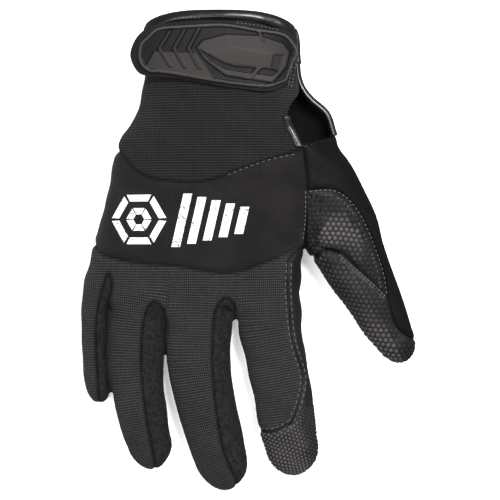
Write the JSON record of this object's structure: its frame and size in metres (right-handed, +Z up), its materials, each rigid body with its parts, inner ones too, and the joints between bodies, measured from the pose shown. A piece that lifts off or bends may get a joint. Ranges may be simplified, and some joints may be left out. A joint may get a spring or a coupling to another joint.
{
  "type": "mechanic glove",
  "caption": "Right-hand work glove lying on its palm: knit back, padded knuckle panel, dotted leather palm and thumb, and a moulded tab on the wrist strap.",
  "frame": {"origin": "under the middle of the glove, on the surface that it lies on", "axes": "+Z up out of the back of the hand, +Y from the fingers to the wrist, +X to the thumb"},
  "size_m": [0.1672, 0.2384, 0.0366],
  "materials": {
    "grip_leather": "dotted satin synthetic leather",
    "smooth_leather": "smooth satin synthetic leather",
    "knit": "ribbed matt knit",
    "side_knit": "smooth matt knit",
    "padded_cloth": "matt padded cloth",
    "binding": "glossy folded tape",
    "strap_cloth": "matt woven cloth",
    "moulded_rubber": "satin moulded rubber",
    "thread": "satin thread",
    "print": "matt printed film"
  },
  "bodies": {
    "root": {"palm": "grip_leather", "back_panel": "knit", "knuckle_panel": "padded_cloth", "finger_back": "knit", "fourchette_index_middle": "side_knit", "fourchette_middle_ring": "side_knit", "fourchette_ring_little": "side_knit", "index_wrap": "grip_leather", "thumb_outer": "smooth_leather", "thumb_saddle": "grip_leather", "thumb_front": "grip_leather", "cuff_binding": "binding", "slit_binding": "binding", "wrist_strap": "strap_cloth", "strap_tab": "moulded_rubber"}
  },
  "joints": []
}
